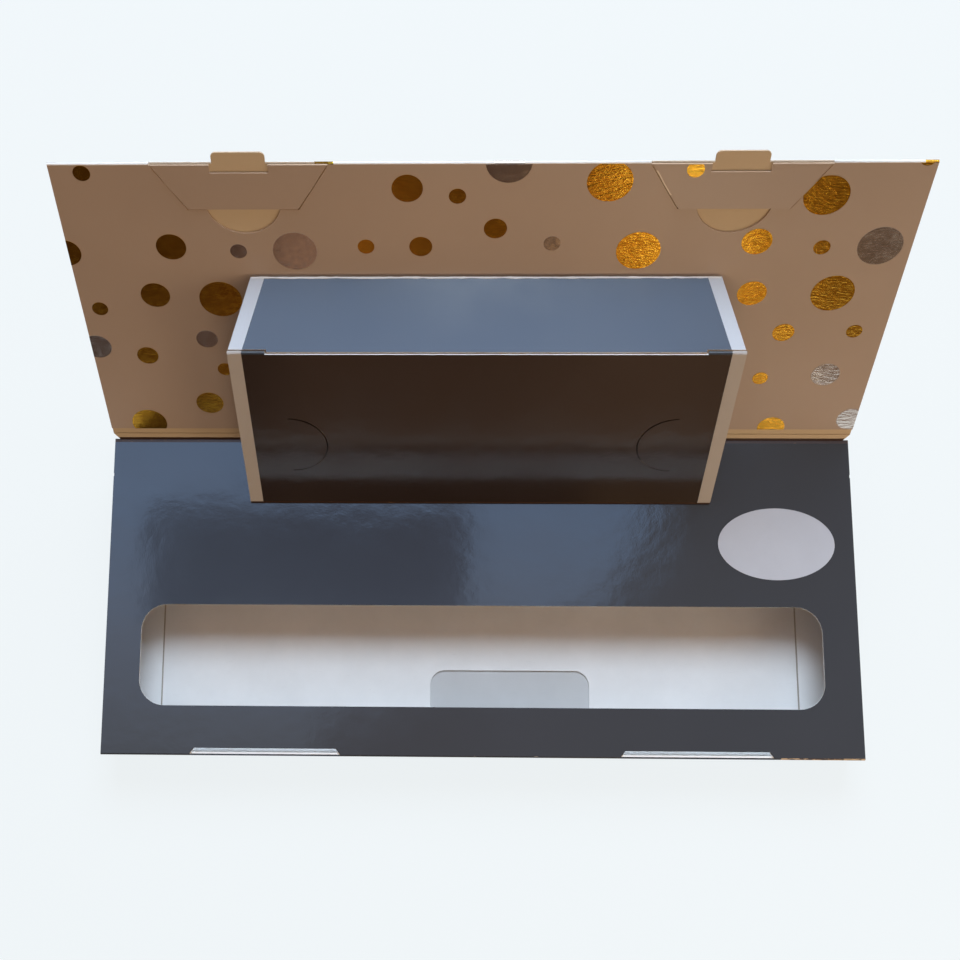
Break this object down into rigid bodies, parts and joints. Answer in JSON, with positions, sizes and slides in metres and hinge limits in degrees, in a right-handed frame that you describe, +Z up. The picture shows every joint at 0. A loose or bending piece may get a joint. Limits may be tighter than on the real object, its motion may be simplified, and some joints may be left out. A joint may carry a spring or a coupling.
{
  "type": "gift card holder",
  "caption": "Folding boxboard gift card holder: windowed tray, lid on a narrow spine, and a pop-up card stand that folds flat between them.",
  "frame": {"origin": "centre of the base's underside", "axes": "+X to the right, +Y from the front edge back to the lid, +Z up"},
  "size_m": [0.205, 0.1395, 0.0899],
  "materials": {
    "raw_grey_board": "uncoated",
    "white_board": "uncoated",
    "slate_print": "gloss print",
    "dark_print": "gloss print",
    "white_ink": "matt ink",
    "cream_board": "uncoated",
    "cream_print": "satin print",
    "gold_foil": "hot foil",
    "silver_foil": "hot foil"
  },
  "bodies": {
    "base": {"base_bottom_panel": "raw_grey_board", "floor_liner": "white_board", "base_front_wall": "slate_print", "front_wall_lining": "white_board", "base_back_wall": "slate_print", "base_left_end_wall": "slate_print", "base_right_end_wall": "slate_print", "left_end_glue_flap": "white_board", "right_end_glue_flap": "white_board", "base_top_panel": "slate_print", "back_glue_flap": "white_board", "popup_foot_flap": "white_board", "amount_field": "white_ink"},
    "spine": {"spine_strip": "cream_board"},
    "lid": {"lid_outer_panel": "cream_board", "lid_front_fold": "cream_board", "lid_liner": "cream_print", "popup_back_flap": "white_board", "gold_foil_dots": "gold_foil", "silver_foil_dots": "silver_foil"},
    "popup_front": {"popup_front_panel": "dark_print"},
    "popup_top": {"popup_top_panel": "slate_print"},
    "left_tuck_flap": {"tuck_flap_left": "cream_print"},
    "right_tuck_flap": {"tuck_flap_right": "cream_print", "tuck_flap_foil_dot": "gold_foil"}
  },
  "joints": [
    {"name": "spine_fold", "type": "hinge", "parent": "base", "child": "spine", "pos_m": [0, 0.04328, 0.01477], "axis": [1, 0, 0], "range_deg": [-4.67, 35]},
    {"name": "lid_fold", "type": "hinge", "parent": "spine", "child": "lid", "pos_m": [0, 0.045, 0.01723], "axis": [1, 0, 0], "range_deg": [-13, 91]},
    {"name": "popup_front_fold", "type": "hinge", "parent": "base", "child": "popup_front", "pos_m": [0, 0.0255, 0.01553], "axis": [1, 0, 0], "range_deg": [-17.32, 123.43]},
    {"name": "popup_top_fold", "type": "hinge", "parent": "popup_front", "child": "popup_top", "pos_m": [0, 0.05558, 0.06217], "axis": [1, 0, 0], "range_deg": [-122.09, 17.15]},
    {"name": "tuck_flap_left_fold", "type": "hinge", "parent": "lid", "child": "left_tuck_flap", "pos_m": [0, 0.0935, 0.08746], "axis": [-1, 0, 0], "range_deg": [0, 90]},
    {"name": "tuck_flap_right_fold", "type": "hinge", "parent": "lid", "child": "right_tuck_flap", "pos_m": [0, 0.0935, 0.08746], "axis": [-1, 0, 0], "range_deg": [0, 90]}
  ],
  "couplings": [
    {"joint": "lid_fold", "follows": "spine_fold", "ratio": 2.5714},
    {"joint": "popup_front_fold", "follows": "spine_fold", "ratio": 3.4981},
    {"joint": "popup_top_fold", "follows": "spine_fold", "ratio": -3.4597}
  ]
}
